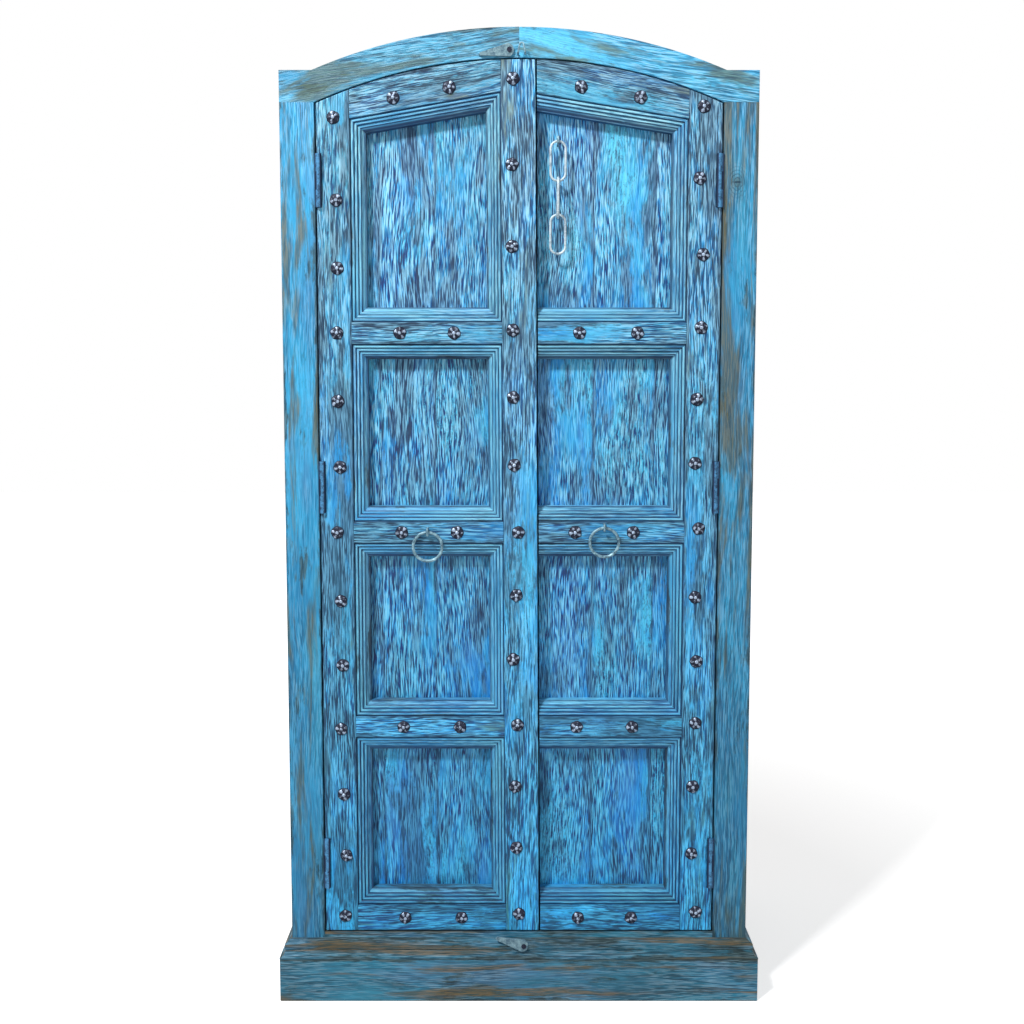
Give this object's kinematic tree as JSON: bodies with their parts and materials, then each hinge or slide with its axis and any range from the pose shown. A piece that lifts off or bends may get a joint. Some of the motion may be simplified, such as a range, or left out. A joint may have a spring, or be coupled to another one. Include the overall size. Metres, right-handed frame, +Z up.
{
  "type": "wardrobe",
  "caption": "Tall arched wooden wardrobe with two studded panelled doors, ring pulls, a door chain, turn buttons and a moulded plinth.",
  "frame": {"origin": "on the floor, at the middle of the footprint", "axes": "+Z up, +Y from the front to the back, +X to the right as seen from the front"},
  "size_m": [0.958, 0.4514, 1.912],
  "materials": {
    "frame_wood": "blue paint, worn to brown and olive wood in streaks",
    "door_wood": "sky blue paint, rubbed pale on the edges",
    "panel_wood": "blue paint with fine upright cracks",
    "plinth_wood": "teal blue paint, worn along the grain",
    "interior_wood": "bare brown boards",
    "stud_iron": "dark domed rosettes with worn bright edges",
    "ring_steel": "pale forged steel, a little rubbed",
    "hinge_iron": "iron under thin grey-blue paint"
  },
  "bodies": {
    "carcass": {"back_boards": "interior_wood", "base_moulding_front": "plinth_wood", "base_moulding_left": "plinth_wood", "base_moulding_right": "plinth_wood", "bottom_rail": "frame_wood", "floor_board": "interior_wood", "frame_hinges_left": "hinge_iron", "frame_hinges_right": "hinge_iron", "header_left": "frame_wood", "header_right": "frame_wood", "header_staple": "ring_steel", "latch_nails": "stud_iron", "plinth_front": "plinth_wood", "plinth_left": "plinth_wood", "plinth_right": "plinth_wood", "roof_boards": "frame_wood", "shelf_cleats_left": "interior_wood", "shelf_cleats_right": "interior_wood", "shelf_lower": "interior_wood", "shelf_middle": "interior_wood", "shelf_upper": "interior_wood", "side_boards_left": "frame_wood", "side_boards_right": "frame_wood", "stile_left": "frame_wood", "stile_right": "frame_wood"},
    "left_door": {"left_bay_mouldings": "door_wood", "left_bottom_rail": "door_wood", "left_door_boards": "panel_wood", "left_door_stile": "door_wood", "left_lower_rail": "door_wood", "left_middle_rail": "door_wood", "left_ring_staple": "ring_steel", "left_studs": "stud_iron", "left_top_moulding": "door_wood", "left_top_rail": "door_wood", "left_upper_rail": "door_wood", "centre_batten": "door_wood", "door_hinges_left": "hinge_iron"},
    "right_door": {"right_bay_mouldings": "door_wood", "right_bottom_rail": "door_wood", "right_door_boards": "panel_wood", "right_door_stile": "door_wood", "right_lower_rail": "door_wood", "right_middle_rail": "door_wood", "right_staples": "ring_steel", "right_studs": "stud_iron", "right_top_moulding": "door_wood", "right_top_rail": "door_wood", "right_upper_rail": "door_wood", "door_hinges_right": "hinge_iron"},
    "left_ring": {"left_ring": "ring_steel"},
    "right_ring": {"right_ring": "ring_steel"},
    "top_latch": {"top_latch": "hinge_iron"},
    "bottom_latch": {"bottom_latch": "hinge_iron"},
    "chain_link_1": {"chain_link_1": "ring_steel"},
    "chain_link_2": {"chain_link_2": "ring_steel"},
    "chain_link_3": {"chain_link_3": "ring_steel"}
  },
  "joints": [
    {"name": "left_door_hinge", "type": "hinge", "parent": "carcass", "child": "left_door", "pos_m": [-0.383, -0.20625, 1.035], "axis": [0, 0, -1], "range_deg": [0, 150]},
    {"name": "right_door_hinge", "type": "hinge", "parent": "carcass", "child": "right_door", "pos_m": [0.383, -0.20625, 1.035], "axis": [0, 0, 1], "range_deg": [0, 150]},
    {"name": "top_latch_turn", "type": "hinge", "parent": "carcass", "child": "top_latch", "pos_m": [-0.0185, -0.20425, 1.86851], "axis": [0, 1, 0], "range_deg": [-64.3, 0]},
    {"name": "bottom_latch_turn", "type": "hinge", "parent": "carcass", "child": "bottom_latch", "pos_m": [0.01, -0.21675, 0.11199], "axis": [0, -1, 0], "range_deg": [-35.5, 0]},
    {"name": "left_ring_swing", "type": "hinge", "parent": "left_door", "child": "left_ring", "pos_m": [-0.17901, -0.20975, 0.94697], "axis": [-1, 0, 0], "range_deg": [0, 160]},
    {"name": "right_ring_swing", "type": "hinge", "parent": "right_door", "child": "right_ring", "pos_m": [0.16699, -0.20975, 0.95547], "axis": [-1, 0, 0], "range_deg": [0, 160]},
    {"name": "chain_link_1_swing", "type": "hinge", "parent": "right_door", "child": "chain_link_1", "pos_m": [0.075, -0.18975, 1.702], "axis": [-1, 0, 0], "range_deg": [0, 100]},
    {"name": "chain_link_2_swing", "type": "hinge", "parent": "chain_link_1", "child": "chain_link_2", "pos_m": [0.075, -0.18975, 1.627], "axis": [-1, 0, 0], "range_deg": [0, 60]},
    {"name": "chain_link_3_swing", "type": "hinge", "parent": "chain_link_2", "child": "chain_link_3", "pos_m": [0.075, -0.18975, 1.5573], "axis": [0, -1, 0], "range_deg": [-6, 45]}
  ]
}
